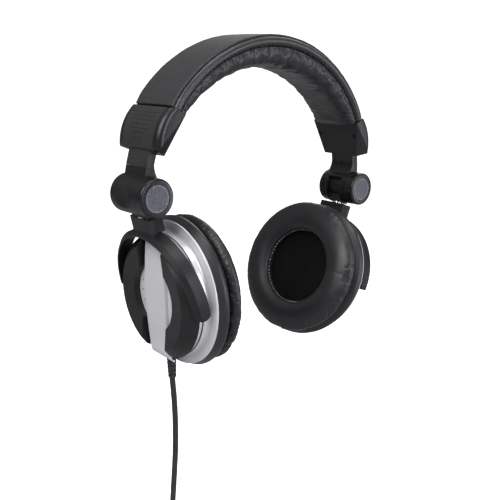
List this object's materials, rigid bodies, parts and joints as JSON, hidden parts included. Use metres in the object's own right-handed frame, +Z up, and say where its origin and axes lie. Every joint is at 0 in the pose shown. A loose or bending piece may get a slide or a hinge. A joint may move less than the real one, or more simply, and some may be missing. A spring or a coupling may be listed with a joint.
{
  "type": "over ear headphones",
  "caption": "Folding over-ear headphones with a padded arched headband, curved size adjusters, barrel fold hinges, half-ring yokes, round tilting cups with soft cushions, and a hanging cable",
  "frame": {"origin": "middle of the underside of the headband pad, where it rests on the head", "axes": "+Z up, +X to the right-hand ear cup (the cable is on the left cup at -X), +Y the way the wearer faces"},
  "size_m": [0.2058, 0.0963, 0.3689],
  "materials": {
    "cover_leatherette": "matte dark grey leatherette",
    "pad_leatherette": "wrinkled semi-gloss black leatherette",
    "piping_leatherette": "satin black leatherette roll",
    "ear_leatherette": "satin black leatherette",
    "pad_cloth": "dark acoustic cloth",
    "cap_plastic": "matte charcoal",
    "satin_plastic": "satin black",
    "gloss_black_plastic": "gloss black",
    "blue_grey_plastic": "gloss blue-grey",
    "ring_plastic": "satin black with a soft sheen",
    "silver_paint": "satin silver paint",
    "silver_shell": "polished silver paint",
    "spring_steel": "brushed",
    "polished_steel": "polished",
    "dark_screw": "black oxide",
    "driver_metal": "dark grey",
    "diaphragm_film": "thin satin film",
    "wire_insulation": "satin",
    "cable_rubber": "satin black",
    "plug_metal": "polished"
  },
  "bodies": {
    "headband": {"spring_band": "spring_steel", "headband_cover": "cover_leatherette", "headband_cushion": "pad_leatherette", "headband_piping": "piping_leatherette", "headband_wire": "wire_insulation", "right_cap_outer": "cap_plastic", "right_cap_inner": "satin_plastic", "left_cap_outer": "cap_plastic", "left_cap_inner": "satin_plastic", "cap_screws": "dark_screw"},
    "right_slider_body": {"right_slider_rail": "spring_steel", "right_slider_arm": "cap_plastic", "right_slider_back": "gloss_black_plastic", "right_slider_screw": "dark_screw", "right_hinge_barrel": "satin_plastic", "right_hinge_end_cap": "gloss_black_plastic", "right_hinge_badge": "blue_grey_plastic", "right_hinge_pin": "polished_steel"},
    "right_knuckle_body": {"right_hinge_knuckle": "satin_plastic", "right_swivel_pin": "polished_steel"},
    "right_yoke_body": {"right_yoke": "satin_plastic", "right_yoke_back": "gloss_black_plastic"},
    "right_cup_body": {"right_outer_cover": "satin_plastic", "right_trim": "silver_paint", "right_cup_shell": "silver_shell", "right_baffle": "satin_plastic", "right_cup_screws": "dark_screw", "right_driver": "driver_metal", "right_diaphragm": "diaphragm_film", "right_pad_ring": "ring_plastic", "right_ear_cushion": "ear_leatherette", "right_pad_cloth": "pad_cloth", "right_pivot_pins": "polished_steel"},
    "left_slider_body": {"left_slider_rail": "spring_steel", "left_slider_arm": "cap_plastic", "left_slider_back": "gloss_black_plastic", "left_slider_screw": "dark_screw", "left_hinge_barrel": "satin_plastic", "left_hinge_end_cap": "gloss_black_plastic", "left_hinge_badge": "blue_grey_plastic", "left_hinge_pin": "polished_steel"},
    "left_knuckle_body": {"left_hinge_knuckle": "satin_plastic", "left_swivel_pin": "polished_steel"},
    "left_yoke_body": {"left_yoke": "satin_plastic", "left_yoke_back": "gloss_black_plastic"},
    "left_cup_body": {"left_outer_cover": "satin_plastic", "left_trim": "silver_paint", "left_cup_shell": "silver_shell", "left_baffle": "satin_plastic", "left_cup_screws": "dark_screw", "left_driver": "driver_metal", "left_diaphragm": "diaphragm_film", "left_pad_ring": "ring_plastic", "left_ear_cushion": "ear_leatherette", "left_pad_cloth": "pad_cloth", "left_pivot_pins": "polished_steel", "cable_strain_relief": "cable_rubber"},
    "cable_body": {"cable": "cable_rubber", "plug_grip": "satin_plastic", "plug_contact": "plug_metal"}
  },
  "joints": [
    {"name": "right_extend", "type": "hinge", "parent": "headband", "child": "right_slider_body", "pos_m": [-0.0137, 0, -0.0784], "axis": [0, 1, 0], "range_deg": [-3.5, 8.6]},
    {"name": "right_fold", "type": "hinge", "parent": "right_slider_body", "child": "right_knuckle_body", "pos_m": [0.0913, 0, -0.0786], "axis": [0, 1, 0], "range_deg": [0, 80]},
    {"name": "right_swivel", "type": "hinge", "parent": "right_knuckle_body", "child": "right_yoke_body", "pos_m": [0.0913, 0, -0.0786], "axis": [-0.3173, 0, -0.9483], "range_deg": [-86.5, 93.5]},
    {"name": "right_tilt", "type": "hinge", "parent": "right_yoke_body", "child": "right_cup_body", "pos_m": [0.07231, 0.00012, -0.14163], "axis": [-0.0579, 0.9981, 0.0194], "range_deg": [-24, 3]},
    {"name": "left_extend", "type": "hinge", "parent": "headband", "child": "left_slider_body", "pos_m": [0.0137, 0, -0.0784], "axis": [0, -1, 0], "range_deg": [-3.5, 8.6]},
    {"name": "left_fold", "type": "hinge", "parent": "left_slider_body", "child": "left_knuckle_body", "pos_m": [-0.0913, 0, -0.0786], "axis": [0, 1, 0], "range_deg": [-80, 0]},
    {"name": "left_swivel", "type": "hinge", "parent": "left_knuckle_body", "child": "left_yoke_body", "pos_m": [-0.0913, 0, -0.0786], "axis": [0.3173, 0, -0.9483], "range_deg": [-93.5, 86.5]},
    {"name": "left_tilt", "type": "hinge", "parent": "left_yoke_body", "child": "left_cup_body", "pos_m": [-0.07231, 0.00012, -0.14163], "axis": [-0.0579, -0.9981, -0.0194], "range_deg": [-15, 12]},
    {"name": "cable_swing", "type": "hinge", "parent": "left_cup_body", "child": "cable_body", "pos_m": [-0.05909, 0.00049, -0.20005], "axis": [0, 1, 0], "range_deg": [0, 96]}
  ],
  "couplings": [
    {"joint": "cable_swing", "follows": "left_fold", "ratio": -1.2}
  ]
}
